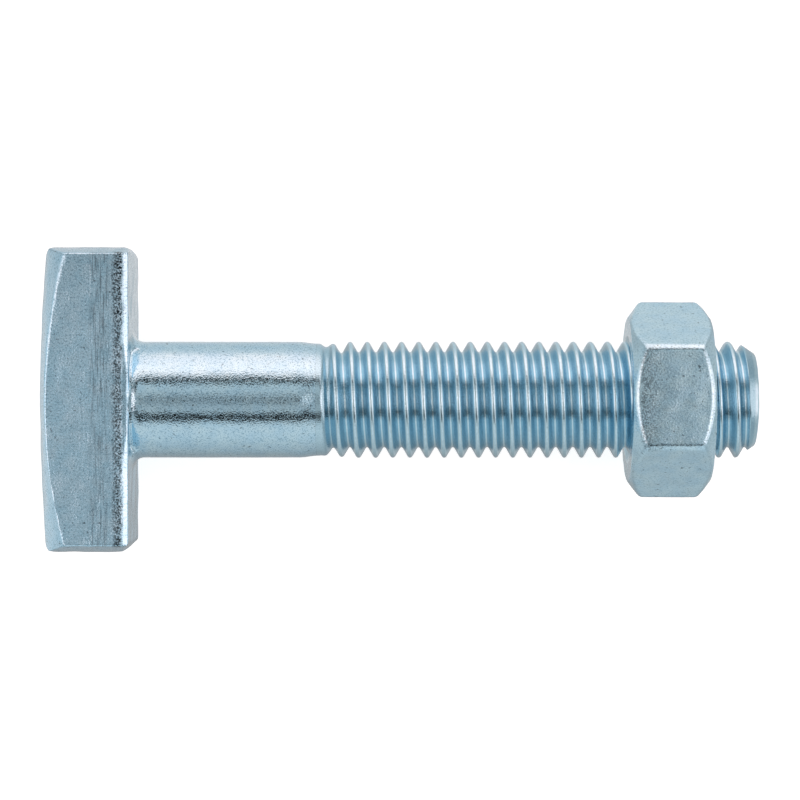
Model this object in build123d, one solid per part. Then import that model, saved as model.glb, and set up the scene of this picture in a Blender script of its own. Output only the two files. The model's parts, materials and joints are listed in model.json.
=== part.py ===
from build123d import *

import math
import os

# T-slot bolt, M12, with its hexagon nut.
#
# Row frame, in millimetres: the bolt's axis lies along +X, from the head to the
# threaded end, and x = 0 is the head's bearing face, which pulls up under the
# lips of the slot. The head is long in Y and narrow in Z. The bolt lies on one
# long side of its head, so +Z is up.

# ---------------------------------------------------------------- thread
THREAD_D = 11.9             # over the crests, within the tolerance of M12
THREAD_PITCH = 1.75
FLANK_ANGLE = 30.0          # each flank leans this far from square to the axis
THREAD_DEPTH = 1.07         # crest to root, on the radius
CREST_FLAT = 0.26           # along the axis
FIRST_CREST = 20.32         # middle of the first crest on the +Y side
THREAD_SIDES = 24           # facets in one turn

# ------------------------------------------------------- bolt, along the axis
SHANK_D = 11.85
BOLT_LENGTH = 63.3          # from the bearing face to the tip
PLAIN_LENGTH = 17.0         # full shank, up to the drop to the thread blank
BLANK_DROP = 0.2            # how far the thread's blank lies under the shank
DROP_LENGTH = 2.0           # the drop's length along the axis
RUNOUT_LENGTH = 2.1         # the grooves grow to their full depth over this
CREST_DIP = 0.02            # the crests start this far under the blank
CREST_RISE_START = 20.2     # from here the crests swell to their full size
CREST_RISE_LENGTH = 1.8
NECK_REACH = 1.0            # reach of the neck's cone, along the shank and across the seat
TIP_CHAMFER = 1.85          # along the axis
TIP_D = 9.4                 # end face of the tip

# ------------------------------------------------------------------ T head
HEAD_LENGTH = 31.25         # along Y, at the middle of its rounded ends
HEAD_WIDTH = 12.0           # along Z, across the two long sides
HEAD_THICKNESS = 9.5        # along X, at the top of the crown
HEAD_END_RADIUS = 20.0      # the two ends bulge on this radius, seen along X
CROWN_RADIUS = 220.0        # the crown's curve along the head
CROWN_DROP_MIDDLE = 1.0     # fall of the crown to a long side, at the middle
CROWN_DROP_END = 2.7        # the same at the ends, where the crown is sharper
TOP_CORNER_RADIUS = 1.35    # crown to end
SEAT_CORNER_RADIUS = 0.95   # bearing face to end, on the +Y wing
SEAT_CORNER_CHAMFER = 1.1   # the same on the -Y wing, which is chamfered
SEAT_EDGE_RADIUS = 0.6      # bearing face to each long side

# --------------------------------------------------------------------- nut
NUT_ACROSS_FLATS = 17.6
NUT_HEIGHT = 8.4
NUT_POSITION = 50.33        # its bearing face, from the head's bearing face
NUT_TURN = -1.7             # about the axis, in degrees
NUT_CORNER_RADIUS = 1.1     # the six long corners
NUT_CHAMFER_D = 16.7        # where each end chamfer starts
NUT_CHAMFER_ANGLE = 37.0    # from the end face
NUT_SINK_D = 13.0           # mouth of the countersink
NUT_SINK_ANGLE = 30.0       # from the end face
NUT_RUNNING_GAP = 0.05      # between the crests and the nut's bore, on the radius

OVERLAP = 1.0               # how far a cutting or joining body reaches past its face
CROWN_CLEARANCE = 0.02      # the corner outline stands this far off the crown


def turned(points):
    """A solid of revolution about X, from its outline as (x, radius) points."""
    outline = Wire.make_polygon([Vector(x, radius, 0) for x, radius in points], close=True)
    return revolve(Face(outline), Axis.X)


def thread_radius(x, turn):
    """The thread's radius at x, on the side that lies this share of a turn from +Y."""
    phase = (x - FIRST_CREST) / THREAD_PITCH - turn
    from_crest = abs(phase - round(phase)) * THREAD_PITCH
    fall = (from_crest - CREST_FLAT / 2) / math.tan(math.radians(FLANK_ANGLE))
    fall = min(max(fall, 0), THREAD_DEPTH)

    # Next to the shank the grooves grow out of the blank, and the crests swell after them.
    low_crest = SHANK_D / 2 - BLANK_DROP - CREST_DIP
    depth = min((x - PLAIN_LENGTH - DROP_LENGTH) / RUNOUT_LENGTH, 1)
    rise = min(max((x - CREST_RISE_START) / CREST_RISE_LENGTH, 0), 1)
    crest = low_crest + (THREAD_D / 2 - low_crest) * rise
    tip = TIP_D / 2 + (THREAD_D - TIP_D) / 2 * (BOLT_LENGTH - x) / TIP_CHAMFER
    return min(crest - fall * depth, tip)


def thread():
    """The rolled thread, a closed wall of flat facets that wind along the helix.

    Four edges wind side by side in each pitch, at the two sides of the crest and of the
    root. Each turn has THREAD_SIDES facets, and the wall stops at a plane at each end.
    """
    low = PLAIN_LENGTH + DROP_LENGTH
    high = BOLT_LENGTH
    flank = THREAD_DEPTH * math.tan(math.radians(FLANK_ANGLE))
    crest_edge = CREST_FLAT / 2
    root_edge = crest_edge + flank
    offsets = [-root_edge, -crest_edge, crest_edge, root_edge]
    first = math.floor((low - FIRST_CREST) / THREAD_PITCH) - 1
    last = math.ceil((high - FIRST_CREST) / THREAD_PITCH) + 1
    rows = [FIRST_CREST + k * THREAD_PITCH + offset for k in range(first, last) for offset in offsets]

    def corner(x, side):
        """A corner of the wall at x, or at the nearer end plane, on one of the sides."""
        x = min(max(x, low), high)
        turn = side / THREAD_SIDES
        radius = thread_radius(x, turn)
        angle = 2 * math.pi * turn
        return (round(x, 6), round(radius * math.cos(angle), 6), round(radius * math.sin(angle), 6))

    # After one turn, an edge runs on as the matching edge of the next pitch.
    faces = []
    climb = THREAD_PITCH / THREAD_SIDES
    for near, far in zip(rows, rows[1:]):
        for side in range(THREAD_SIDES):
            x = side * climb
            a, b = corner(near + x, side), corner(near + x + climb, side + 1)
            c, d = corner(far + x + climb, side + 1), corner(far + x, side)
            for triangle in ((a, b, c), (a, c, d)):
                if len(set(triangle)) == 3:
                    faces.append(Face(Wire.make_polygon(triangle, close=True)))
    for end in (low, high):
        ring = [corner(end, side) for side in range(THREAD_SIDES)]
        faces.append(Face(Wire.make_polygon(ring, close=True)))
    return Solid(Shell(faces))


def shank():
    """The plain shank, with its neck, down to the blank where the grooves start."""
    shank_r = SHANK_D / 2
    groove_start = PLAIN_LENGTH + DROP_LENGTH
    body = turned([
        (-OVERLAP, 0),
        (-OVERLAP, shank_r + NECK_REACH),
        (0, shank_r + NECK_REACH),
        (NECK_REACH, shank_r),
        (PLAIN_LENGTH, shank_r),
        (groove_start, shank_r - BLANK_DROP),
        (groove_start, 0),
    ])

    # The neck is forged no wider than the head.
    width_limit = Box(4 * BOLT_LENGTH, 2 * HEAD_LENGTH, HEAD_WIDTH)
    return body & width_limit


def crown_section(y):
    """The head's section at y: flat bearing face, two long sides, arched crown."""
    half = HEAD_WIDTH / 2
    middle_fall = CROWN_RADIUS - math.sqrt(CROWN_RADIUS**2 - y**2)
    share = (y / (HEAD_LENGTH / 2)) ** 2
    side_fall = CROWN_DROP_MIDDLE + (CROWN_DROP_END - CROWN_DROP_MIDDLE) * share
    top = -HEAD_THICKNESS + middle_fall
    crown = Edge.make_three_point_arc(
        Vector(top + side_fall, y, -half), Vector(top, y, 0), Vector(top + side_fall, y, half)
    )
    sides = [(top + side_fall, half), (OVERLAP, half), (OVERLAP, -half), (top + side_fall, -half)]
    lines = [Edge.make_line((a[0], y, a[1]), (b[0], y, b[1])) for a, b in zip(sides, sides[1:])]
    return Wire([crown, *lines])


def corner_outline():
    """The head seen along Z: rounded corners, and a chamfer under the -Y wing."""
    half = HEAD_LENGTH / 2
    top = -HEAD_THICKNESS - CROWN_CLEARANCE
    end_top = top + CROWN_RADIUS - math.sqrt(CROWN_RADIUS**2 - half**2)
    outline = Face(Wire([
        Edge.make_three_point_arc((end_top, -half, 0), (top, 0, 0), (end_top, half, 0)),
        Edge.make_line((end_top, half, 0), (0, half, 0)),
        Edge.make_line((0, half, 0), (0, -half, 0)),
        Edge.make_line((0, -half, 0), (end_top, -half, 0)),
    ]))
    corners = outline.vertices()
    top_corners = corners.filter_by(lambda corner: corner.X < end_top / 2)
    outline = fillet(top_corners, TOP_CORNER_RADIUS)
    outline = fillet(outline.vertices().sort_by_distance((0, half, 0))[0], SEAT_CORNER_RADIUS)
    return chamfer(outline.vertices().sort_by_distance((0, -half, 0))[0], SEAT_CORNER_CHAMFER)


def head():
    """The forged T head: crowned on top, rounded at both ends, flat under its wings."""
    half = HEAD_LENGTH / 2
    reach = half + OVERLAP
    stations = [reach * share for share in (-1, -0.5, 0, 0.5, 1)]
    crown = Solid.make_loft([crown_section(y) for y in stations])

    # Seen along X: the two ends bulge between the straight long sides.
    side_z = HEAD_WIDTH / 2
    side_y = half - HEAD_END_RADIUS + math.sqrt(HEAD_END_RADIUS**2 - side_z**2)
    plan = Face(Wire([
        Edge.make_three_point_arc((0, side_y, -side_z), (0, half, 0), (0, side_y, side_z)),
        Edge.make_line((0, side_y, side_z), (0, -side_y, side_z)),
        Edge.make_three_point_arc((0, -side_y, side_z), (0, -half, 0), (0, -side_y, -side_z)),
        Edge.make_line((0, -side_y, -side_z), (0, side_y, -side_z)),
    ]))
    body = crown & extrude(plan, HEAD_THICKNESS + OVERLAP, dir=(-1, 0, 0))
    seat_edges = body.edges().filter_by(Axis.Y).group_by(Axis.X)[-1]
    body = fillet(seat_edges, SEAT_EDGE_RADIUS)
    return body & extrude(corner_outline(), HEAD_WIDTH, both=True)


def nut():
    """The hexagon nut, chamfered at both ends and bored to clear the crests."""
    hexagon = RegularPolygon(NUT_ACROSS_FLATS / 2, 6, major_radius=False)
    hexagon = fillet(hexagon.vertices(), NUT_CORNER_RADIUS)
    prism = extrude(Plane.YZ * hexagon, NUT_HEIGHT)

    # One turned outline trims the corners at both ends.
    clear = NUT_ACROSS_FLATS
    chamfer_r = NUT_CHAMFER_D / 2
    slope = math.tan(math.radians(NUT_CHAMFER_ANGLE))
    depth = (clear - chamfer_r) * slope
    low, high = 0, NUT_HEIGHT
    for face_x, inward in ((low, 1), (high, -1)):
        cone = turned([
            (face_x, chamfer_r),
            (face_x + inward * depth, clear),
            (face_x - inward * OVERLAP, clear),
            (face_x - inward * OVERLAP, chamfer_r),
        ])
        prism -= cone

    bore_r = THREAD_D / 2 + NUT_RUNNING_GAP
    sink_r = NUT_SINK_D / 2
    sink = (sink_r - bore_r) * math.tan(math.radians(NUT_SINK_ANGLE))
    hole = turned([
        (low - OVERLAP, 0),
        (low - OVERLAP, sink_r),
        (low, sink_r),
        (low + sink, bore_r),
        (high - sink, bore_r),
        (high, sink_r),
        (high + OVERLAP, sink_r),
        (high + OVERLAP, 0),
    ])
    return Pos(NUT_POSITION, 0, 0) * Rotation(NUT_TURN, 0, 0) * (prism - hole)


parts = {
    "t_head_bolt": head() + (shank() + thread()),
    "hex_nut": nut(),
}

os.makedirs("parts", exist_ok=True)
for name, solid in parts.items():
    export_step(solid, f"parts/{name}.step")
    print(name, round(solid.volume, 1), "mm3")
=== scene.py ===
"""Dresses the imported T-slot bolt and its hexagon nut for a studio picture.

Each CAD solid is replaced by a finer mesh of the same form, with rounded edges, a rolled
thread and forging marks. A mesh starts as rings of points that follow the form's edges,
and its points are then settled on the form's signed distance field, which also gives
their normals. Lengths are in millimetres until a mesh is written, and then in metres.
"""

from __future__ import annotations

import json
import logging
import math
from dataclasses import dataclass, field, replace
from enum import Enum
from typing import Any, Callable, Mapping, Sequence, Union

import bpy
import numpy as np
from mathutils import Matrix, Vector

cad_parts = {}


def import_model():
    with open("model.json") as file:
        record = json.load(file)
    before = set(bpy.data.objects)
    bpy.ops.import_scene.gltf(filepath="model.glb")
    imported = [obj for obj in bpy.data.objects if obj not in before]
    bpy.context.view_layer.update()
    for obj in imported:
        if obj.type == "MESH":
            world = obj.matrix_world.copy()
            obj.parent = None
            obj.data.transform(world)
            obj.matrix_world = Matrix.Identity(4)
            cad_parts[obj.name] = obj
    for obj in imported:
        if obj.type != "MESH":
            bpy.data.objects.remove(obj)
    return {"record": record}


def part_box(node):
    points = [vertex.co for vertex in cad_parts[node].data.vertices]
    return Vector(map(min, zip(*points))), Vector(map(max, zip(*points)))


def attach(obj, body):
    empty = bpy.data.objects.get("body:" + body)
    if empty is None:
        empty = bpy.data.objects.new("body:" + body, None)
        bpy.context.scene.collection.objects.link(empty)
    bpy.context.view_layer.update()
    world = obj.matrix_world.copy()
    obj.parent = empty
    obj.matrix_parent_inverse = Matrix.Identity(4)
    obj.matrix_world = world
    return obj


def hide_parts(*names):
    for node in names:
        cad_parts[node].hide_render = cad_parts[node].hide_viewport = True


LOG = logging.getLogger("t_slot_bolt")
MM = 0.001                  # metres in a millimetre

Array = np.ndarray
Field = Callable[[Array], Array]
Socket = bpy.types.NodeSocket
Source = Union[Socket, bpy.types.Node]      # a node stands for its first output


class Node(Enum):
    """The CAD nodes that the pieces stand for."""

    BOLT = "t_head_bolt"
    NUT = "hex_nut"


# ------------------------------------------------------------------ small helpers


def linear(hex_colour: str) -> tuple[float, float, float, float]:
    """Turns an sRGB hex colour into the linear colour that a shader takes.

    Args:
        hex_colour: Six hex digits after a hash, such as "#C3E3F3".

    Returns:
        Red, green, blue and an alpha of 1.
    """
    values = [int(hex_colour[i : i + 2], 16) / 255 for i in (1, 3, 5)]
    red, green, blue = (v / 12.92 if v <= 0.04045 else ((v + 0.055) / 1.055) ** 2.4 for v in values)
    return red, green, blue, 1.0


def per_metre(size_mm: float) -> float:
    """The texture scale at which a pattern's features are size_mm across."""
    return 1 / (size_mm * MM)


def rounded_max(a: Array, b: Array, radius: float) -> Array:
    """The distance to the overlap of two forms, with their shared edge rounded.

    Args:
        a: Signed distances to the first form, negative inside.
        b: Signed distances to the second form.
        radius: The edge's radius where the two meet square.

    Returns:
        The signed distances to the overlap.
    """
    outside = np.hypot(np.maximum(a + radius, 0), np.maximum(b + radius, 0))
    return np.minimum(-radius, np.maximum(a, b)) + outside


def rounded_min(a: Array, b: Array, radius: float) -> Array:
    """The distance to the union of two forms, with a fillet where they meet."""
    return -rounded_max(-a, -b, radius)


def blended_max(a: Array, b: Array, reach: float) -> Array:
    """The larger of two lengths, blended where they differ by less than reach."""
    return np.maximum(a, b) + np.maximum(reach - np.abs(a - b), 0) ** 2 / (4 * reach)


def eased(count: int, low: float = 1.0, high: float = 1.0) -> Array:
    """Shares from 0 to 1 in count steps, closer together near the ends.

    Args:
        count: The number of steps.
        low: How much closer they are near 0, from 0 for even steps to 1.
        high: The same near 1. Where neither is 0, low holds for both ends.

    Returns:
        count + 1 rising shares.
    """
    t = np.linspace(0, 1, count + 1)
    near_low = 1 - np.cos(t * math.pi / 2)
    near_high = np.sin(t * math.pi / 2)
    both = (1 - np.cos(t * math.pi)) / 2
    if low and high:
        return (1 - low) * t + low * both
    return (1 - low - high) * t + low * near_low + high * near_high


def gathered(t: Array, share: float) -> Array:
    """Places from -1 to 1, drawn towards both ends by a share from 0 to 1."""
    return (1 - share) * t + share * np.sin(t * math.pi / 2)


@dataclass(frozen=True)
class Waviness:
    """A gentle unevenness, as a sum of plane waves in fixed random directions.

    It only goes inwards, so that the piece stays inside its outline.

    Attributes:
        height: Its usual height, in millimetres.
        shortest: The shortest wave, in millimetres.
        longest: The longest wave, in millimetres.
        seed: Seed of the directions and phases.
    """

    height: float
    shortest: float
    longest: float
    seed: int

    WAVES = 28
    SUNK = 2.6              # heights from the outline down to the middle of the waves

    def at(self, points: Array) -> Array:
        """How far the surface lies under its outline at each point.

        Args:
            points: Points as rows of x, y and z.

        Returns:
            The depths, in millimetres.
        """
        rng = np.random.default_rng(self.seed)
        ways = rng.normal(size=(self.WAVES, 3))
        ways /= np.linalg.norm(ways, axis=1, keepdims=True)
        lengths = np.exp(rng.uniform(math.log(self.shortest), math.log(self.longest), self.WAVES))
        phases = rng.uniform(0, 2 * math.pi, self.WAVES)
        angles = points @ (ways * (2 * math.pi / lengths)[:, None]).T + phases
        return self.height * (self.SUNK + math.sqrt(2 / self.WAVES) * np.sin(angles).sum(axis=-1))


# ------------------------------------------------------------------------- meshes


@dataclass
class SkinBuilder:
    """Joins grids of points into one closed mesh on a distance field.

    Attributes:
        name: The object's name.
        field: The form's signed distance field, in millimetres.
        points: The points so far, in millimetres.
        faces: The faces so far, as indices into the points.
        slots: Each face's material slot.
    """

    name: str
    field: Field
    points: list[Array] = field(default_factory=list)
    faces: list[Array] = field(default_factory=list)
    slots: list[Array] = field(default_factory=list)

    STEP = 0.002            # millimetres, for the field's slope
    SETTLING = 6            # rounds of settling
    LONGEST_MOVE = 0.25     # millimetres in one round
    MERGE_DISTANCE = 0.0004 # millimetres
    LEAST_SLOPE = 0.05      # squared, below which a slope no longer lengthens a move

    def add(self, grid: Array, slot: int, shift: int = 0, flip: bool = False) -> None:
        """Adds a grid that closes round on itself.

        Args:
            grid: Points as rows by columns by 3. A row goes once round.
            slot: The material slot of its faces.
            shift: How many rows on the grid meets itself after one turn, for a helix.
            flip: Whether the faces are wound the other way.
        """
        rows, columns = grid.shape[:2]
        start = sum(len(p) for p in self.points)
        row, column = np.meshgrid(np.arange(rows - 1 - shift), np.arange(columns), indexing="ij")
        ends = column == columns - 1
        next_column = np.where(ends, 0, column + 1)
        next_row = np.where(ends, row + shift, row)
        corners = [
            row * columns + column,
            next_row * columns + next_column,
            (next_row + 1) * columns + next_column,
            (row + 1) * columns + column,
        ]
        quads = np.stack(corners, axis=-1).reshape(-1, 4) + start
        self.points.append(grid.reshape(-1, 3))
        self.faces.append(quads[:, ::-1] if flip else quads)
        self.slots.append(np.full(len(quads), slot))

    def slope(self, points: Array) -> Array:
        """The field's slope at each point, by central differences.

        Args:
            points: Points as rows of x, y and z.

        Returns:
            One slope for each point.
        """
        steps = np.eye(3) * self.STEP
        sides = [self.field(points + s) - self.field(points - s) for s in steps]
        return np.stack(sides, axis=-1) / (2 * self.STEP)

    def settle(self, points: Array) -> Array:
        """Moves points along the field's slope until they lie on the form.

        Args:
            points: Points as rows of x, y and z.

        Returns:
            The settled points.
        """
        for _ in range(self.SETTLING):
            slope = self.slope(points)
            steepness = np.maximum((slope**2).sum(axis=1), self.LEAST_SLOPE)
            move = (-self.field(points) / steepness)[:, None] * slope
            length = np.linalg.norm(move, axis=1, keepdims=True)
            points = points + move * np.minimum(1, self.LONGEST_MOVE / np.maximum(length, 1e-12))
        return points

    def build(self, materials: Sequence[bpy.types.Material]) -> bpy.types.Object:
        """Makes the object, in metres, with normals from the field.

        Args:
            materials: The materials, in the order of the slots.

        Returns:
            The new object, in the scene and in the row frame.
        """
        points = self.settle(np.concatenate(self.points))
        faces = np.concatenate(self.faces)
        slots = np.concatenate(self.slots)

        # Points that fell together become one, and faces that lost their area go.
        keys = np.round(points / self.MERGE_DISTANCE).astype(np.int64)
        _, first, merged = np.unique(keys, axis=0, return_index=True, return_inverse=True)
        points = points[first]
        corners = merged.reshape(-1)[faces]
        rings = [list(dict.fromkeys(ring)) for ring in corners.tolist()]
        kept = [i for i, ring in enumerate(rings) if len(ring) > 2]

        mesh = bpy.data.meshes.new(self.name)
        mesh.from_pydata((points * MM).tolist(), [], [rings[i] for i in kept])
        mesh.validate()
        for material in materials:
            mesh.materials.append(material)
        if len(mesh.polygons) == len(kept):
            mesh.polygons.foreach_set("material_index", slots[kept].astype(np.int32))
        mesh.shade_smooth()
        normals = self.slope(points)
        normals /= np.maximum(np.linalg.norm(normals, axis=1, keepdims=True), 1e-9)
        mesh.normals_split_custom_set_from_vertices(normals.tolist())
        made = bpy.data.objects.new(self.name, mesh)
        bpy.context.scene.collection.objects.link(made)
        LOG.info("%s: %d points, %d faces", self.name, len(points), len(kept))
        return made


# ------------------------------------------------------------------------- thread


@dataclass(frozen=True)
class RolledThread:
    """An M12 thread's radius, whose crests and roots are rounded as rolling leaves them.

    Attributes:
        crest: Radius over the crests.
        depth: Crest to root, on the radius.
        pitch: Travel in one turn.
        first_crest: Where a crest crosses the +Y side.
        crest_round: Radius of the crest's rounding.
    """

    crest: float = 5.95
    depth: float = 1.07
    pitch: float = 1.75
    first_crest: float = 20.32
    crest_round: float = 0.27

    LEAN = math.radians(30) # each flank leans this far from square to the axis

    @property
    def root_round(self) -> float:
        """Radius of the root's rounding, which fills what the flanks leave of a pitch."""
        straight = self.depth * math.tan(self.LEAN)
        share = math.cos(self.LEAN) - math.tan(self.LEAN) / 2
        return (self.pitch / 2 - straight) / share - self.crest_round

    def knots(self) -> list[float]:
        """Distances from a crest, along the axis, at which the profile needs a point.

        Returns:
            The distances over one pitch, from its lower root, rising.
        """
        crest_end = self.crest_round * math.cos(self.LEAN)
        root_start = self.pitch / 2 - self.root_round * math.cos(self.LEAN)
        flank = (root_start - crest_end) / 4
        half = [crest_end / 2, crest_end]
        half += [crest_end + flank * i for i in (1, 2, 3)]
        half += [root_start, (root_start + self.pitch / 2) / 2]
        return [-self.pitch / 2] + [-t for t in half[::-1]] + [0.0] + half

    def radius(self, x: Array, turn: Array) -> Array:
        """The radius at x on the side that lies at an angle of turn from +Y.

        Args:
            x: Places along the axis.
            turn: Angles about the axis, in radians, from +Y towards +Z.

        Returns:
            The radii.
        """
        phase = (x - self.first_crest) / self.pitch - turn / (2 * math.pi)
        t = np.abs(phase - np.round(phase)) * self.pitch
        rise = 1 / math.tan(self.LEAN)
        crest_end = self.crest_round * math.cos(self.LEAN)
        root_end = self.root_round * math.cos(self.LEAN)
        from_root = self.pitch / 2 - t
        crest_arc = np.sqrt(np.maximum(self.crest_round**2 - np.minimum(t, crest_end) ** 2, 0))
        root_arc = np.sqrt(np.maximum(self.root_round**2 - np.minimum(from_root, root_end) ** 2, 0))
        at_crest = self.crest - self.crest_round + crest_arc
        at_root = self.crest - self.depth + self.root_round - root_arc
        flank = self.crest - self.crest_round * (1 - math.sin(self.LEAN)) - (t - crest_end) * rise
        return np.where(t < crest_end, at_crest, np.where(from_root < root_end, at_root, flank))

    def rows(self, low: float, high: float) -> Array:
        """Where a helical grid's rows cross the +Y side, from a turn before low to high.

        Args:
            low: The lower plane.
            high: The upper plane.

        Returns:
            The places along the axis.
        """
        first = math.floor((low - self.first_crest) / self.pitch) - 2
        last = math.ceil((high - self.first_crest) / self.pitch) + 1
        turns = self.first_crest + self.pitch * np.arange(first, last + 1)
        return (turns[:, None] + np.array(self.knots())[None, :]).reshape(-1)

    def grid(self, turn: Array, low: float, high: float) -> tuple[Array, Array, int]:
        """The places of a helical grid between two planes.

        Args:
            turn: Each column's angle about the axis, in radians.
            low: The lower plane.
            high: The upper plane.

        Returns:
            Places along the axis, angles, and the rows in one turn.
        """
        rows = self.rows(low, high)
        x = rows[:, None] + self.pitch * turn[None, :] / (2 * math.pi)
        return np.clip(x, low, high), np.broadcast_to(turn, x.shape), len(self.knots())


def polar(x: Array, turn: Array, radius: Array) -> Array:
    """Points from places along the axis, angles from +Y and radii."""
    x, turn, radius = np.broadcast_arrays(x, turn, radius)
    return np.stack([x, radius * np.cos(turn), radius * np.sin(turn)], axis=-1)


def between(start: Array, end: Array, shares: Array) -> Array:
    """Rings from one ring of points to another."""
    return start[None] + (end - start)[None] * shares[:, None, None]


# --------------------------------------------------------------------------- bolt


@dataclass
class Bolt:
    """The forged T head, the drawn shank and the rolled thread: one piece of steel.

    Attributes:
        tip: Where the threaded end stops.
        half_length: Half the head's length, at the middle of its rounded ends.
        half_width: Half the head's width.
        top: The crown's highest place, which is negative.
    """

    tip: float
    half_length: float
    half_width: float
    top: float

    thread: RolledThread = RolledThread()
    shank: float = 5.925            # radius
    plain: float = 17.2             # full shank, up to the slope to the thread blank
    blank: float = 5.73             # the thread blank's radius
    blank_slope: float = math.tan(math.radians(8))
    slope_blend: float = 0.35       # reach of the blend from the shank to that slope
    blank_blend: float = 0.06       # and from the slope to the blank
    rolled: float = 18.7            # up to here the surface is as it was drawn
    groove: tuple[float, float] = (19.0, 20.8)      # the grooves grow over this
    swell: tuple[float, float] = (20.1, 22.0)       # and the crests over this
    tip_chamfer: float = 1.85       # along the axis
    tip_radius: float = 4.7
    chamfer_blend: float = 0.12
    tip_edge: float = 0.10          # rounding of the tip's end face
    neck: float = 1.15              # fillet under the head
    crease: float = 5.80            # radius of the crease round the neck, over and under it
    crease_end: float = 0.28        # where it starts to rise to the shank
    crease_rise: float = math.radians(14)
    crease_edge: float = 0.06       # rounding where the crease meets the shank
    crease_fillet: float = 0.10     # what is left of the neck's fillet there
    pinch_start: float = 0.50       # sine of the turn from +Y at which the crease begins
    pinch_reach: float = 0.12       # and the rise of that sine over which it becomes full
    end_bulge: float = 20.0
    crown_radius: float = 220.0
    fall_middle: float = 1.0
    fall_end: float = 2.7
    top_corner: float = 1.35
    seat_corner: float = 0.95
    seat_chamfer: float = 1.1
    seat_reach: float = 0.54        # how far along X the seat's long edges are bevelled
    seat_lean: float = math.tan(math.radians(19))   # how steeply that bevel leaves the side
    seat_least: float = 0.35        # the bevel's share of that reach in front of the neck
    seat_narrow: float = 3.6        # up to here on either side of the axis it is that narrow
    seat_widening: float = 2.2      # and over this much further it grows to its full reach
    seat_blend: float = 0.12
    seat_edge: float = 0.16         # rounding from the bevel to the seat
    wear: float = 0.040             # fall of the long sides over the square of a length
    wear_start: float = -1.5        # from here on towards the seat
    crown_edge: tuple[float, float] = (0.12, 0.28)  # at the two places of crown_edge_y
    crown_edge_y: tuple[float, float] = (-8.0, 4.0)
    side_edge: float = 0.22
    forging: Waviness = Waviness(0.022, 1.6, 9.0, 3)
    drawing: Waviness = Waviness(0.004, 1.0, 6.0, 5)

    COLUMNS = 176                   # round the bolt, a multiple of 16
    CROWN_RINGS = 22
    SIDE_RINGS = 26
    WING_RINGS = 20
    NECK_RINGS = 25
    SHANK_RINGS = 30
    HEAD, SHANK, THREAD = range(3)  # material slots

    def crown(self, points: Array) -> Array:
        """Distance to the arched crown, negative under it.

        Args:
            points: Points as rows of x, y and z.

        Returns:
            The signed distances.
        """
        x, y, z = points.T
        middle = self.top + self.crown_radius - np.sqrt(self.crown_radius**2 - y**2)
        fall = self.fall_middle + (self.fall_end - self.fall_middle) * (y / self.half_length) ** 2
        arch = (self.half_width**2 + fall**2) / (2 * fall)
        inside = np.sqrt(np.maximum(arch**2 - z**2, (arch * 0.2) ** 2))
        place = middle + arch - inside
        lean = z / inside
        return (place - x) / np.sqrt(1 + lean**2)

    def head_field(self, points: Array) -> Array:
        """Distance to the forged head, with its rounded edges.

        Args:
            points: Points as rows of x, y and z.

        Returns:
            The signed distances, negative inside.
        """
        x, y, z = points.T
        middle = self.top + self.crown_radius - np.sqrt(self.crown_radius**2 - y**2)
        ends = np.abs(y) - self.half_length
        outline = rounded_max(middle - x, ends, self.top_corner)
        round_wing = rounded_max(outline, x, self.seat_corner)
        chamfer = (x + ends + self.seat_chamfer) / math.sqrt(2)
        cut_wing = rounded_max(np.maximum(outline, x), chamfer, self.side_edge)
        outline = np.where(y > 0, round_wing, cut_wing)

        sides = np.abs(z) - self.half_width
        bulge = np.hypot(np.abs(y) - (self.half_length - self.end_bulge), z) - self.end_bulge
        plan = rounded_max(sides, bulge, self.side_edge)
        body = rounded_max(outline, plan, self.side_edge)
        crown_edge = np.interp(y, self.crown_edge_y, self.crown_edge)
        body = rounded_max(body, self.crown(points), crown_edge)

        # Towards the seat the long sides fall away a little, and then bevel over. In
        # front of the neck the bevel is narrow.
        worn = self.wear * np.maximum(x - self.wear_start, 0) ** 2
        beside = np.clip((np.abs(y) - self.seat_narrow) / self.seat_widening, 0, 1)
        past = x + self.seat_reach * (self.seat_least + (1 - self.seat_least) * beside)
        bevel = self.seat_lean * blended_max(past, np.zeros_like(x), self.seat_blend)
        bevelled = rounded_max(sides + worn + bevel, x, self.seat_edge)
        return np.maximum(body, bevelled) + self.forging.at(points)

    def shaft_radius(self, x: Array, turn: Array) -> Array:
        """The shank's and the thread's radius, with the run-out and the tip's chamfer.

        Args:
            x: Places along the axis.
            turn: Angles about the axis, in radians, from +Y towards +Z.

        Returns:
            The radii.
        """
        swell = np.clip((x - self.swell[0]) / (self.swell[1] - self.swell[0]), 0, 1)
        depth = np.clip((x - self.groove[0]) / (self.groove[1] - self.groove[0]), 0, 1)
        sunk = self.blank_slope * blended_max(x - self.plain, np.zeros_like(x), self.slope_blend)
        over_crests = blended_max(self.shank - sunk, np.full_like(x, self.blank), self.blank_blend)
        over_crests += (self.thread.crest - self.blank) * swell**2 * (3 - 2 * swell)
        grooved = over_crests - (self.thread.crest - self.thread.radius(x, turn)) * depth
        widening = (self.thread.crest - self.tip_radius) * (self.tip - x) / self.tip_chamfer
        return -blended_max(-grooved, -(self.tip_radius + widening), self.chamfer_blend)

    def shaft_field(self, points: Array) -> Array:
        """Distance to the shank and thread, up to the rounded edge of the tip.

        Args:
            points: Points as rows of x, y and z.

        Returns:
            The signed distances, negative inside.
        """
        x, y, z = points.T
        radius = np.hypot(y, z)
        uneven = self.drawing.at(points)
        wall = radius - self.shaft_radius(x, np.arctan2(z, y)) + uneven
        ends = np.maximum(x - self.tip, self.top / 2 - x)
        return rounded_max(wall, ends + uneven, self.tip_edge)

    def pinch(self, turn: Array) -> Array:
        """How far the crease has taken the fillet's place, from 0 to 1."""
        return np.clip((np.abs(np.sin(turn)) - self.pinch_start) / self.pinch_reach, 0, 1)

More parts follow.
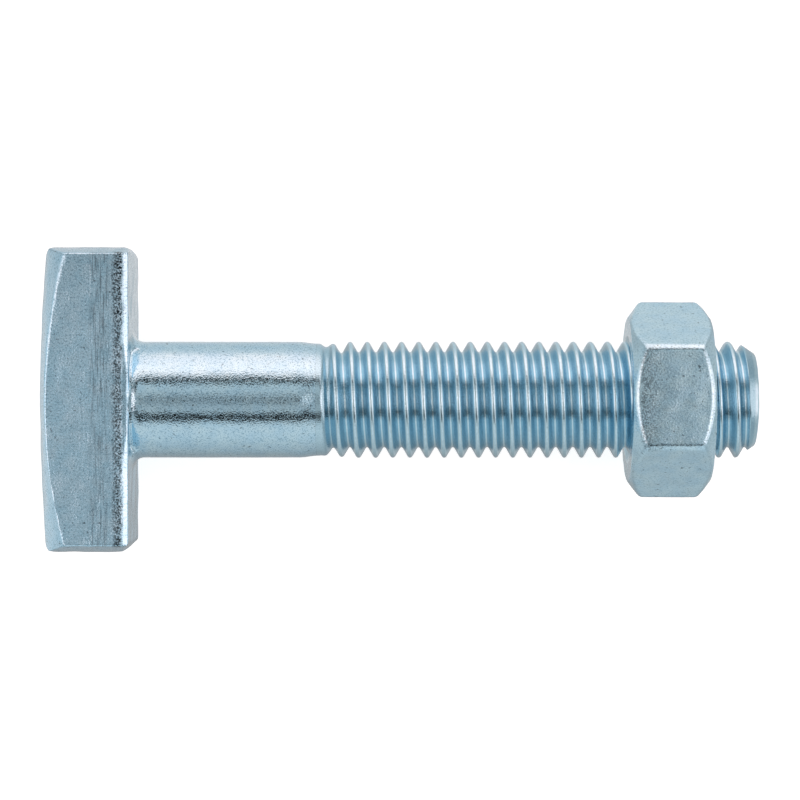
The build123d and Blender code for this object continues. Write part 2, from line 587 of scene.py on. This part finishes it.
    def crease_radius(self, x: Array) -> Array:
        """The crease's radius, which rises to the shank's and beyond."""
        return self.crease + math.tan(self.crease_rise) * np.maximum(x - self.crease_end, 0)

    def neck_radius(self, x: Array, turn: Array) -> Array:
        """The radius from the seat to the end of the fillet.

        Args:
            x: Places along the axis.
            turn: Angles about the axis, in radians.

        Returns:
            The radii.
        """
        arc = np.sqrt(np.maximum(self.neck**2 - (self.neck - x) ** 2, 0))
        fillet = self.shank + self.neck - arc
        crease = np.minimum(self.crease_radius(x), self.shank)
        return fillet + (crease - fillet) * self.pinch(turn)

    def field(self, points: Array) -> Array:
        """Distance to the whole bolt.

        Args:
            points: Points as rows of x, y and z.

        Returns:
            The signed distances, negative inside.
        """
        shaft = self.shaft_field(points)
        near = points[:, 0] < self.plain / 2
        whole = shaft.copy()

        # The head is no thicker than the shank. So the fillet under it is full only
        # towards the wings, and over and under the neck a crease takes its place.
        x, y, z = points[near].T
        turns = np.arctan2(z, y)
        pinch = self.pinch(turns)
        crease = (np.hypot(y, z) - self.crease_radius(x)) * math.cos(self.crease_rise)
        neck = rounded_max(shaft[near], crease - (1 - pinch), self.crease_edge)
        fillet = self.neck + (self.crease_fillet - self.neck) * pinch
        joined = rounded_min(self.head_field(points[near]), neck, fillet)
        whole[near] = np.maximum(joined, np.abs(z) - self.half_width)
        return whole

    def outline_ring(self) -> Array:
        """The head's outline seen along the axis, with columns gathered at its corners.

        Returns:
            One ring of points, which starts on the +Y side.
        """
        eighth = self.COLUMNS // 16
        t = np.arange(-eighth, eighth + 1) / eighth
        z = self.half_width * gathered(t, 0.6)
        arc = self.half_length - self.end_bulge + np.sqrt(self.end_bulge**2 - z**2)
        t = np.arange(1, 6 * eighth) / (3 * eighth) - 1
        y = -arc[-1] * gathered(t, 0.55)
        width = np.full(len(y), self.half_width)
        ring_y = np.concatenate([arc, y, -arc, -y])
        ring_z = np.concatenate([z, width, -z, -width])
        ring = np.stack([np.zeros(len(ring_y)), ring_y, ring_z], axis=-1)
        return np.roll(ring, -eighth, axis=0)

    def neck_rings(self) -> Array:
        """Rings from the seat to where the shank is round and straight.

        Returns:
            The rings, from the seat.
        """
        turn = np.arange(self.COLUMNS) * 2 * math.pi / self.COLUMNS
        x = self.neck * np.linspace(0, 1, self.NECK_RINGS)[:, None]
        rings = polar(x, turn, self.neck_radius(x, turn))
        rings[..., 2] = np.clip(rings[..., 2], -self.half_width, self.half_width)
        return rings

    def head_rings(self, foot: Array) -> Array:
        """Rings over the crown, down the sides and in under the wings to the neck's foot.

        Args:
            foot: The ring at which the neck stands on the seat.

        Returns:
            The rings, from the middle of the crown.
        """
        outline = self.outline_ring()
        rings = []
        for share in eased(self.CROWN_RINGS, 0, 0.85):
            ring = outline * [1, 1, share]
            ring[:, 0] = self.top
            ring[:, 0] += self.crown(ring)
            rings.append(ring)
        edge = rings[-1]
        rings += list(between(edge, outline, eased(self.SIDE_RINGS))[1:])
        rings += list(between(outline, foot, eased(self.WING_RINGS, 0.9, 0.9))[1:])
        return np.stack(rings)

    def skin(self) -> SkinBuilder:
        """The whole mesh, before it is settled."""
        skin = SkinBuilder(Node.BOLT.value + "_dressed", self.field)
        turn = np.arange(self.COLUMNS) * 2 * math.pi / self.COLUMNS
        neck = self.neck_rings()
        skin.add(self.head_rings(neck[0]), self.HEAD)
        skin.add(neck, self.SHANK)

        plain_x = self.neck + (self.rolled - self.neck) * eased(self.SHANK_RINGS)
        skin.add(polar(plain_x[:, None], turn, np.array([self.shank])), self.SHANK)

        x, turns, shift = self.thread.grid(turn, self.rolled, self.tip)
        radius = self.shaft_radius(x, turns)
        skin.add(polar(x, turns, radius), self.THREAD, shift=shift)

        # The end face: rings close together at its edge, and then even ones to the middle.
        shares = np.concatenate([1 - 0.06 * eased(8, 1, 0), np.linspace(0.9, 0.0, 10)])
        face = polar(np.full((1, 1), self.tip), turn, self.tip_radius * shares[:, None])
        skin.add(face, self.THREAD)
        return skin


# ---------------------------------------------------------------------------- nut


@dataclass
class HexNut:
    """The cold-formed hexagon nut, with its own internal thread.

    Attributes:
        low: Its bearing face.
        high: Its other face.
    """

    low: float
    high: float

    across_flats: float = 17.6
    turned: float = math.radians(-1.7)
    corner: float = 0.5             # of the rounding function, about 1.1 mm as an arc
    chamfer_radius: float = 8.35
    chamfer_slope: float = math.tan(math.radians(37))
    sink_radius: float = 6.5
    sink_slope: float = math.tan(math.radians(30))
    edge: float = 0.31              # where the flats run into the end chamfers
    bore_edge: float = 0.08         # rounding at the mouths of the bore
    thread: RolledThread = RolledThread(crest=6.02, depth=0.93, crest_round=0.27)
    forming: Waviness = Waviness(0.012, 1.4, 7.0, 11)

    SECTOR = 32                     # columns on each of the six sides
    MITRE = 1.135                   # the corners' reach over the flats', once rounded
    RINGS = (12, 14, 34, 14, 12)    # on the seat, a chamfer, the flats, a chamfer, the end
    FACES, BORE = range(2)          # material slots

    def hexagon(self, y: Array, z: Array) -> Array:
        """Distance to the hexagon, with rounded corners.

        Args:
            y: Places along Y.
            z: Places along Z.

        Returns:
            The signed distances, negative inside.
        """
        angles = math.pi / 2 + self.turned + np.arange(6) * math.pi / 3
        sides = np.stack([y * math.cos(a) + z * math.sin(a) for a in angles])
        sides = np.sort(sides - self.across_flats / 2, axis=0)
        return rounded_max(sides[-1], sides[-2], self.corner)

    def bore_radius(self, x: Array, turn: Array) -> Array:
        """The internal thread's radius, opened by the countersinks."""
        mouth = np.minimum(x - self.low, self.high - x)
        return np.maximum(self.thread.radius(x, turn), self.sink_radius - mouth / self.sink_slope)

    def field(self, points: Array) -> Array:
        """Distance to the nut.

        Args:
            points: Points as rows of x, y and z.

        Returns:
            The signed distances, negative inside.
        """
        x, y, z = points.T
        radius = np.hypot(y, z)
        depth = np.minimum(x - self.low, self.high - x)
        lean = math.hypot(1, self.chamfer_slope)
        cone = ((radius - self.chamfer_radius) * self.chamfer_slope - depth) / lean
        prism = rounded_max(self.hexagon(y, z), cone, self.edge)
        outer = rounded_max(prism, -depth, self.edge / 3) + self.forming.at(points)
        bore = self.bore_radius(x, np.arctan2(z, y)) - radius
        return rounded_max(outer, bore, self.bore_edge)

    def columns(self) -> Array:
        """Angles round the nut, gathered at its six corners.

        Returns:
            The angles, in radians, from +Y towards +Z.
        """
        t = 2 * np.arange(self.SECTOR) / self.SECTOR - 1
        reach = math.radians(30)
        sector = reach * gathered(t, 0.55)
        first = math.pi / 2 + self.turned
        return np.concatenate([first + sector + i * math.pi / 3 for i in range(6)])

    def skin(self) -> SkinBuilder:
        """The whole mesh, before it is settled."""
        skin = SkinBuilder(Node.NUT.value + "_dressed", self.field)
        turn = self.columns()
        flat = math.pi / 3
        from_flat = np.mod(turn - math.pi / 2 - self.turned + flat / 2, flat) - flat / 2
        half = self.across_flats / 2
        hexagon = np.minimum(half / np.cos(from_flat), half * self.MITRE)
        crease = np.maximum((hexagon - self.chamfer_radius) * self.chamfer_slope, 0)

        def ring(x: Array | float, radius: Array | float) -> Array:
            """One ring round the nut, from a place along the axis and a radius."""
            return polar(np.broadcast_to(x, turn.shape), turn, np.broadcast_to(radius, turn.shape))

        corners = [
            ring(self.low, self.sink_radius),
            ring(self.low, self.chamfer_radius),
            ring(self.low + crease, hexagon),
            ring(self.high - crease, hexagon),
            ring(self.high, self.chamfer_radius),
            ring(self.high, self.sink_radius),
        ]
        rings = [corners[0][None]]
        for start, end, count in zip(corners, corners[1:], self.RINGS):
            rings.append(between(start, end, eased(count))[1:])
        skin.add(np.concatenate(rings), self.FACES)

        # The bore's columns start where the thread's turn is taken to start.
        x, turns, shift = self.thread.grid(turn, self.low, self.high)
        skin.add(polar(x, turns, self.bore_radius(x, turns)), self.BORE, shift=shift, flip=True)
        return skin


# ---------------------------------------------------------------------- materials


@dataclass
class Tree:
    """A node tree that is being written."""

    tree: bpy.types.NodeTree

    def add(
        self,
        kind: str,
        *inputs: Any,
        named: Mapping[str | int, Any] | None = None,
        stops: Sequence[tuple[float, Any]] = (),
        **settings: Any,
    ) -> bpy.types.Node:
        """Adds one node with its settings, values and links.

        Args:
            kind: The node's type, such as "Math".
            inputs: Its first inputs in order. Each is a value, a socket to link from, or a
                node, which stands for its first output.
            named: Other inputs in the same way, by name or place.
            stops: The stops of a colour ramp, each a place and a grey level or a colour.
            settings: Properties of the node.

        Returns:
            The new node.
        """
        node = self.tree.nodes.new("ShaderNode" + kind)
        for name, value in settings.items():
            setattr(node, name, value)
        for place, value in [*enumerate(inputs), *(named or {}).items()]:
            source = value.outputs[0] if isinstance(value, bpy.types.Node) else value
            if isinstance(source, Socket):
                self.tree.links.new(source, node.inputs[place])
            else:
                node.inputs[place].default_value = source
        for index, (place, value) in enumerate(stops):
            elements = node.color_ramp.elements
            element = elements[index] if index < len(elements) else elements.new(1.0)
            element.position = place
            element.color = value if isinstance(value, tuple) else (value, value, value, 1)
        return node

    def told_in(self, unit_mm: float, length: Source) -> Source:
        """A length in metres, told in units of unit_mm."""
        return self.add("Math", length, per_metre(unit_mm), operation="MULTIPLY")


class Surface(Enum):
    """How a zinc-plated surface was made, which gives its marks."""

    FORGED = "forged"
    DRAWN = "drawn"
    ROLLED = "rolled"
    FORMED = "formed"


@dataclass(frozen=True)
class BlueZinc:
    """Steel, electroplated with zinc and passivated clear blue.

    The plate is a bright metal with a cold blue cast. The cast deepens where light goes
    from flank to flank in a groove, because each reflection is tinted again. On a rolled
    thread that deeper blue is also painted on the flanks, as painted shade.

    Attributes:
        surface: How the steel under the plate was made.
        colour: The plate's usual colour.
        deep: Its colour where the passivate is thicker, and on a rolled thread the painted shade of its
            flanks.
        roughness: Its usual roughness.
        grain_mm: Size of the steel's grain, as it shows through.
        grain_height: Height of that grain, in millimetres.
        grain_detail: How many finer grains lie on it.
        dull: The colour of the dull specks.
        speck_share: How strongly the specks show.
        span: Where the piece starts and stops along X, in millimetres.
    """

    surface: Surface
    colour: str
    deep: str
    roughness: float
    grain_mm: float
    grain_height: float
    grain_detail: float = 4.0
    dull: str = "#6A95AC"
    speck_share: float = 0.5
    span: tuple[float, float] = (-10.0, 0.0)

    def material(self) -> bpy.types.Material:
        """The finished material."""
        made = bpy.data.materials.new("blue_zinc_" + self.surface.value)
        made.use_nodes = True
        made.node_tree.nodes.clear()
        tree = Tree(made.node_tree)
        place = tree.add("TexCoord").outputs["Object"]

        mottle = self.noise(tree, place, 1.6, 6.0)
        # Where the passivate is thicker the plate takes the deeper colour; on a rolled thread the flanks take
        # it instead, as painted shade.
        patches_or_flank_shade = self.thick_and_flank_shade(tree, place, mottle)
        shades = {6: linear(self.colour), 7: linear(self.deep)}
        tint = tree.add("Mix", patches_or_flank_shade, data_type="RGBA", named=shades).outputs[2]

        # Specks where the plate is thin and dull, as small as the steel's own grain.
        specks = self.noise(tree, place, self.grain_mm * 0.9, 3.0)
        share = tree.add("ValToRGB", specks, stops=[(0.28, self.speck_share), (0.50, 0.0)])
        shades = {6: tint, 7: linear(self.dull)}
        plate = tree.add("Mix", share, data_type="RGBA", named=shades).outputs[2]
        if self.surface is not Surface.ROLLED:
            marks = self.marks(tree, place)
            plate = tree.add("VectorMath", plate, operation="SCALE", named={"Scale": marks})

        spread, least = self.roughness * 0.8, self.roughness * 0.6
        rough = tree.add("Math", mottle, spread, least, operation="MULTIPLY_ADD")
        relief = {"Strength": 1.0, "Distance": self.grain_height * MM, "Height": self.height(tree, place)}
        bump = tree.add("Bump", named=relief)
        metal = {"Metallic": 1.0, "Base Color": plate, "Roughness": rough, "Normal": bump}
        tree.add("OutputMaterial", tree.add("BsdfPrincipled", named=metal))
        return made

    @staticmethod
    def noise(
        tree: Tree,
        place: Source,
        size_mm: float,
        detail: float,
        stretch: tuple[float, float, float] = (1.0, 1.0, 1.0),
    ) -> Source:
        """Noise from 0 to 1.

        Args:
            tree: The tree that it is added to.
            place: The points at which it is read.
            size_mm: The size of its features.
            detail: How many finer layers lie on it.
            stretch: How much smaller the features are along each axis. Below 1 they are longer.

        Returns:
            The noise.
        """
        laid = tree.add("Mapping", place, named={"Scale": stretch})
        size = {"Vector": laid, "Scale": per_metre(size_mm), "Detail": detail, "Roughness": 0.6}
        return tree.add("TexNoise", named=size).outputs["Fac"]

    def thick_and_flank_shade(self, tree: Tree, place: Source, mottle: Source) -> Source:
        """Where the passivate is thicker, or on a rolled thread the painted shade of its flanks, not its
        crests.

        Args:
            tree: The tree that is being written.
            place: The points of the piece, in metres.
            mottle: Noise from 0 to 1 that sets where the passivate is thicker.

        Returns:
            0 where it is thin or unshaded to 1 where it is thicker or painted with shade.
        """
        if self.surface is not Surface.ROLLED:
            return tree.add("ValToRGB", mottle, stops=[(0.38, 0.0), (0.62, 1.0)])
        # On a rolled thread, the flanks between these radii get the deeper blue as painted shade, for light
        # that goes from flank to flank.
        _, y, z = tree.add("SeparateXYZ", place).outputs
        square_y = tree.add("Math", y, y, operation="MULTIPLY")
        square_z = tree.add("Math", z, z, operation="MULTIPLY")
        square = tree.add("Math", square_y, square_z, operation="ADD")
        radius = tree.told_in(10.0, tree.add("Math", square, operation="SQRT"))
        return tree.add("ValToRGB", radius, stops=[(0.490, 0.0), (0.505, 1.0), (0.560, 1.0), (0.580, 0.0)])

    def along(self, tree: Tree, place: Source) -> Source:
        """Where a point lies along X, from 0 at the piece's start to 1 at its end.

        Args:
            tree: The tree that is being written.
            place: The points of the piece, in metres.

        Returns:
            The share of the way along.
        """
        start, end = self.span
        x = tree.add("SeparateXYZ", place).outputs[0]
        return tree.add("Math", x, per_metre(end - start), -start / (end - start), operation="MULTIPLY_ADD")

    def marks(self, tree: Tree, place: Source) -> Source:
        """How bright the plate is left by pits, torn scale and die lines, from 0 to 1.

        Args:
            tree: The tree that is being written.
            place: The points of the piece, in metres.

        Returns:
            The share of its brightness that is left.
        """
        spots = self.noise(tree, place, 0.42, 3.0)
        sparse = tree.add("ValToRGB", spots, stops=[(0.29, 0.35), (0.355, 1.0)])
        if self.surface is Surface.DRAWN:
            return sparse
        if self.surface is Surface.FORGED:
            darkened = self.forging_marks(tree, place)
        else:
            darkened = self.forming_marks(tree, place)
        left = tree.add("Math", 1.0, darkened, operation="SUBTRACT")
        return tree.add("Math", sparse, left, operation="MULTIPLY")

    def forging_marks(self, tree: Tree, place: Source) -> Source:
        """How dark the head is made by torn scale next to the seat, by the die's fine lines, and towards its
        +Y end.

        Args:
            tree: The tree that is being written.
            place: The points of the piece, in metres.

        Returns:
            The share of its brightness that is lost.
        """
        along = self.along(tree, place)
        _, y, z = tree.add("SeparateXYZ", place).outputs
        aside = tree.told_in(10.0, tree.add("Math", z, operation="ABSOLUTE"))
        flats = tree.add("ValToRGB", aside, stops=[(0.52, 0.0), (0.56, 1.0)])

        # The torn band's edges wander by up to 4% of the head's thickness.
        uneven = self.noise(tree, place, 0.7, 2.0)
        wander = tree.add("Math", uneven, 0.08, -0.04, operation="MULTIPLY_ADD")
        ragged = tree.add("Math", along, wander, operation="ADD")
        stops = [(0.82, 0.0), (0.85, 0.75), (0.88, 1.0), (0.922, 1.0), (0.938, 0.0)]
        torn = tree.add("ValToRGB", ragged, stops=stops)
        pits = tree.add("ValToRGB", self.noise(tree, place, 0.19, 4.0), stops=[(0.42, 0.84), (0.60, 0.0)])

        lined = tree.add("ValToRGB", along, stops=[(0.58, 0.0), (0.65, 1.0), (0.77, 1.0), (0.82, 0.2)])
        scored = self.noise(tree, place, 0.16, 2.0, (1.0, 0.05, 0.4))
        lines = tree.add("ValToRGB", scored, stops=[(0.36, 0.42), (0.56, 0.0)])

        torn_pits = tree.add("Math", torn, pits, operation="MULTIPLY")
        die_lines = tree.add("Math", lined, lines, operation="MULTIPLY")
        both = tree.add("Math", torn_pits, die_lines, operation="ADD")
        darkened = tree.add("Math", both, flats, operation="MULTIPLY")
        # The head is also made darker towards its +Y end, by up to 0.14 of its brightness.
        end = tree.add("ValToRGB", tree.told_in(16.0, y), stops=[(0.2, 0.0), (0.85, 0.14)])
        return tree.add("Math", darkened, end, operation="ADD")

    def forming_marks(self, tree: Tree, place: Source) -> Source:
        """How dark the nut's upper flat is made by pits, which thin out away from its seat.

        Args:
            tree: The tree that is being written.
            place: The points of the piece, in metres.

        Returns:
            The share of its brightness that is lost.
        """
        along = self.along(tree, place)
        z = tree.add("SeparateXYZ", place).outputs[2]
        upper = tree.add("ValToRGB", tree.told_in(10.0, z), stops=[(0.83, 0.0), (0.86, 1.0)])
        stops = [(0.07, 0.0), (0.11, 1.0), (0.20, 0.85), (0.34, 0.30), (0.8, 0.0)]
        torn = tree.add("ValToRGB", along, stops=stops)
        pits = tree.add("ValToRGB", self.noise(tree, place, 0.17, 4.0), stops=[(0.40, 0.62), (0.60, 0.0)])
        upper_torn = tree.add("Math", upper, torn, operation="MULTIPLY")
        return tree.add("Math", upper_torn, pits, operation="MULTIPLY")

    def height(self, tree: Tree, place: Source) -> Source:
        """The relief of the surface, where 1 is one grain's height.

        Args:
            tree: The tree that is being written.
            place: The points of the piece, in metres.

        Returns:
            The relief.
        """
        grain = self.noise(tree, place, self.grain_mm, self.grain_detail)
        if self.surface is not Surface.FORGED:
            return grain

        # Next to the seat the forging is torn, and the die left fine lines along Y.
        along = self.along(tree, place)
        torn = tree.add("ValToRGB", along, stops=[(0.80, 1.0), (0.86, 1.5), (0.915, 2.0), (0.94, 0.55)])
        lined = tree.add("ValToRGB", along, stops=[(0.45, 0.15), (0.62, 0.7), (0.76, 0.7), (0.85, 0.1)])
        lines = self.noise(tree, place, 0.3, 2.0, (1.0, 0.03, 0.3))
        relief = tree.add("Math", grain, torn, operation="MULTIPLY")
        return tree.add("Math", relief, tree.add("Math", lines, lined, operation="MULTIPLY"), operation="ADD")


# Hot forging leaves scale and die marks under the plate, so its flats look grey and grained.
FORGED_ZINC = BlueZinc(
    Surface.FORGED, "#C9ECFF", "#BBE5FB", 0.10, grain_mm=0.22, grain_height=0.040, speck_share=0.75
)

# Drawing leaves a smooth, bright bar. One coarse layer of grain, drawn as large as it must
# be to show, breaks up the edges of what it mirrors.
DRAWN_ZINC = BlueZinc(
    Surface.DRAWN, "#C4E4F2", "#B9DDF0", 0.07,
    grain_mm=0.17, grain_height=0.024, grain_detail=1.0, speck_share=0.9,
)

# Thread rolling presses flanks and crests smooth, and the flanks are painted a deeper blue, as painted shade
# in the grooves.
ROLLED_ZINC = BlueZinc(Surface.ROLLED, "#C4E4F2", "#A6CDDF", 0.15, grain_mm=0.12, grain_height=0.016)

# Cold forming leaves the nut's flats even and satin, with a fine grain.
FORMED_ZINC = BlueZinc(Surface.FORMED, "#C8E8F5", "#BDE1F3", 0.12, grain_mm=0.2, grain_height=0.030)


# -------------------------------------------------------------------------- studio


@dataclass(frozen=True)
class Sweep:
    """How bright the tent is along one way down from overhead.

    Attributes:
        stops: Degrees from overhead, each with its level, where 1 is white.
    """

    stops: tuple[tuple[float, float], ...]

    FULL = 2.0              # the level that a ramp's 1 stands for
    WARM = (1.06, 0.82, 0.77)       # red, green and blue of the brightest panels
    WARM_FROM = 0.75        # up to this level a panel is neutral
    WARM_OVER = 0.45        # and over this much more it turns fully warm

    @classmethod
    def colour(cls, level: float) -> tuple[float, float, float, float]:
        """The colour of a level. The bright panels are a little warm, the rest is neutral."""
        share = min(max((level - cls.WARM_FROM) / cls.WARM_OVER, 0), 1)
        red, green, blue = (level / cls.FULL * (1 + (warm - 1) * share) for warm in cls.WARM)
        return min(red, 1), min(green, 1), min(blue, 1), 1.0

    def light(self, tree: Tree, angle: Source) -> bpy.types.Node:
        """The sweep's colour over an angle that runs from 0 overhead to 1 straight down."""
        stops = [(degrees / 180, self.colour(level)) for degrees, level in self.stops]
        return tree.add("ValToRGB", angle, stops=stops)


class Tent(Enum):
    """The tent's sides. A lens looks in through a small dark gap in a grey roof.

    LEFT, towards +Y, is a white panel, and RIGHT, towards -Y, a grey one, each behind a dark
    seam. FRONT, past the tip, has a high white panel and a narrow one under it, and BACK,
    past the head, a high white panel. CORNER is the grey cloth between them.
    """

    LEFT = Sweep((
        (0, 0.0), (3.9, 0.0), (4.8, 0.46), (15, 0.60), (23, 0.68), (33, 0.66), (35, 0.02),
        (43, 0.02), (45.5, 0.60), (51, 1.25), (61, 1.66), (71, 1.58), (92, 1.48), (107, 0.94),
        (126, 0.73), (154, 0.72), (175, 0.80),
    ))
    RIGHT = Sweep((
        (0, 0.0), (3.9, 0.0), (4.8, 0.40), (22, 0.58), (27.5, 0.58), (29.5, 0.02), (42, 0.02),
        (44.5, 0.55), (51, 0.76), (66, 0.79), (83, 0.74), (103, 0.62), (117, 0.57), (139, 0.42),
        (175, 0.40),
    ))
    FRONT = Sweep((
        (0, 0.0), (3.8, 0.0), (4.5, 0.42), (5.1, 0.51), (6.2, 0.58), (12, 0.74), (20, 0.96),
        (26, 1.50), (32, 1.86), (52, 1.80), (60, 0.95), (69, 0.92), (71, 1.60), (80, 1.60),
        (83, 0.82), (98, 0.60), (112, 0.54), (135, 0.66), (175, 0.74),
    ))
    BACK = Sweep((
        (0, 0.0), (3.9, 0.0), (4.8, 0.42), (12, 0.46), (22, 0.54), (29, 1.20), (36, 1.80),
        (52, 1.75), (60, 0.95), (85, 0.82), (99, 0.65), (118, 0.64), (142, 0.74), (175, 0.74),
    ))
    CORNER = Sweep((
        (0, 0.0), (3.9, 0.0), (4.8, 0.43), (26, 0.45), (28, 0.14), (38, 0.14), (42, 0.48),
        (100, 0.52), (175, 0.55),
    ))


@dataclass(frozen=True)
class Studio:
    """A light tent round the bolt, with a white sheet under it and a camera overhead.

    Attributes:
        aim: The point that the camera looks down on, in millimetres.
        height: The camera's height over that point, in millimetres.
        lens: The camera's focal length, in millimetres.
        floor_height: The sheet's height, in millimetres.
    """

    aim: tuple[float, float, float]
    height: float
    lens: float
    floor_height: float

    REACH = 3.0             # metres from the middle of the sheet to its edge
    SHEET = "#F2F2F2"
    GLOW = 0.62             # what the camera sees on top of the sheet's own light
    GLOW_COLOUR = (0.97, 1, 1, 1)
    SEAM = ((0.47, 0.0), (0.53, 1.0))       # between opposite sides
    TO_CORNER = ((0.35, 0.0), (0.5, 1.0))   # from LEFT or RIGHT to CORNER
    TO_END = ((0.76, 0.0), (0.86, 1.0))     # from there to FRONT or BACK
    UNDER = 0.02            # how soon the sides blend into one another straight below

    def camera(self) -> None:
        """Puts the camera over the bolt, looking straight down."""
        data = bpy.data.cameras.new("camera")
        data.lens = self.lens
        data.clip_start = 0.01
        made = bpy.data.objects.new("camera", data)
        made.location = Vector(self.aim) * MM + Vector((0, 0, self.height * MM))
        bpy.context.scene.collection.objects.link(made)
        bpy.context.scene.camera = made

    def floor(self) -> None:
        """A white sheet that takes a soft shadow and isn't mirrored in the metal."""
        mesh = bpy.data.meshes.new("floor")
        height = self.floor_height * MM
        low, high = -self.REACH, self.REACH
        corners = [(low, low, height), (high, low, height), (high, high, height), (low, high, height)]
        mesh.from_pydata(corners, [], [(0, 1, 2, 3)])
        made = bpy.data.objects.new("floor", mesh)
        made.visible_glossy = False
        bpy.context.scene.collection.objects.link(made)

        material = bpy.data.materials.new("white_sheet")
        material.use_nodes = True
        material.node_tree.nodes.clear()
        tree = Tree(material.node_tree)
        seen = tree.add("LightPath").outputs["Is Camera Ray"]
        strength = tree.add("Math", seen, self.GLOW, operation="MULTIPLY")
        glow = tree.add("Emission", self.GLOW_COLOUR, strength)
        matt = tree.add("BsdfDiffuse", linear(self.SHEET))
        tree.add("OutputMaterial", tree.add("AddShader", glow, matt))
        mesh.materials.append(material)

    def tent(self) -> None:
        """Lights the scene by direction, from the four sweeps of the tent."""
        world = bpy.data.worlds.new("tent")
        bpy.context.scene.world = world
        world.use_nodes = True
        world.node_tree.nodes.clear()
        tree = Tree(world.node_tree)
        way = tree.add("TexCoord").outputs["Generated"]
        x, y, z = tree.add("SeparateXYZ", way).outputs
        angle = tree.add("Math", tree.add("Math", z, operation="ARCCOSINE"), math.pi, operation="DIVIDE")

        def mixed(share: Source, low: Any, high: Any) -> Source:
            """Two colours mixed by a share."""
            return tree.add("Mix", share, data_type="RGBA", named={6: low, 7: high}).outputs[2]

        def step(value: Source) -> Source:
            """0 on a direction's negative side and 1 on its positive side."""
            return tree.add("ValToRGB", tree.add("Math", value, 0.5, operation="ADD"), stops=self.SEAM)

        sides = {side: side.value.light(tree, angle) for side in Tent}
        across = mixed(step(y), sides[Tent.RIGHT], sides[Tent.LEFT])
        along = mixed(step(x), sides[Tent.BACK], sides[Tent.FRONT])

        # How much of a level direction lies along X, from 0 to 1.
        square_x = tree.add("Math", x, x, operation="MULTIPLY")
        square_y = tree.add("Math", y, y, operation="MULTIPLY")
        down = tree.add("Math", tree.add("Math", z, -1.0, operation="MULTIPLY"), 1e-4, operation="MAXIMUM")
        level = tree.add("Math", square_x, square_y, operation="ADD")
        under = tree.add("Math", down, self.UNDER, operation="MULTIPLY")
        whole = tree.add("Math", level, under, operation="ADD")
        share = tree.add("Math", square_x, whole, operation="DIVIDE")
        beside = mixed(tree.add("ValToRGB", share, stops=self.TO_CORNER), across, sides[Tent.CORNER])
        seen = mixed(tree.add("ValToRGB", share, stops=self.TO_END), beside, along)
        bright = tree.add("VectorMath", seen, operation="SCALE", named={"Scale": Sweep.FULL})
        tree.add("OutputWorld", tree.add("Background", bright, 1.0))


# ---------------------------------------------------------------------------- main


def corners_mm(node: Node) -> tuple[Vector, Vector]:
    """A CAD node's lowest and highest corner, in millimetres."""
    low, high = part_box(node.value)
    return low / MM, high / MM


def body_of(record: Mapping[str, Any], node: Node) -> str:
    """The name of the body that carries a CAD node."""
    return next(body for body, members in record["behaviour"]["bodies"].items() if node.value in members)


def dress(record: Mapping[str, Any], node: Node, skin: SkinBuilder, finishes: Sequence[BlueZinc]) -> None:
    """Builds a skin, lets it stand for its CAD node and rides it on the node's body.

    Args:
        record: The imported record.
        node: The CAD node.
        skin: The mesh to build.
        finishes: Its finishes, in the order of its slots.
    """
    made = skin.build([finish.material() for finish in finishes])
    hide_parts(node.value)
    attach(made, body_of(record, node))


def main() -> None:
    """Builds the bolt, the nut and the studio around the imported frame."""
    logging.basicConfig(level=logging.INFO)
    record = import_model()["record"]
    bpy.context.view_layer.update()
    bolt_low, bolt_high = corners_mm(Node.BOLT)
    nut_low, nut_high = corners_mm(Node.NUT)

    bolt = Bolt(tip=bolt_high.x, half_length=bolt_high.y, half_width=bolt_high.z, top=bolt_low.x)
    dress(record, Node.BOLT, bolt.skin(), [FORGED_ZINC, DRAWN_ZINC, ROLLED_ZINC])

    nut = HexNut(low=nut_low.x, high=nut_high.x)
    formed = replace(FORMED_ZINC, span=(nut_low.x, nut_high.x))
    dress(record, Node.NUT, nut.skin(), [formed, ROLLED_ZINC])

    studio = Studio(aim=(27.17, -0.04, 0.0), height=295.0, lens=130.0, floor_height=nut_low.z)
    studio.camera()
    studio.floor()
    studio.tent()

    bpy.context.scene.view_settings.view_transform = "Standard"


if __name__ == "__main__":
    main()
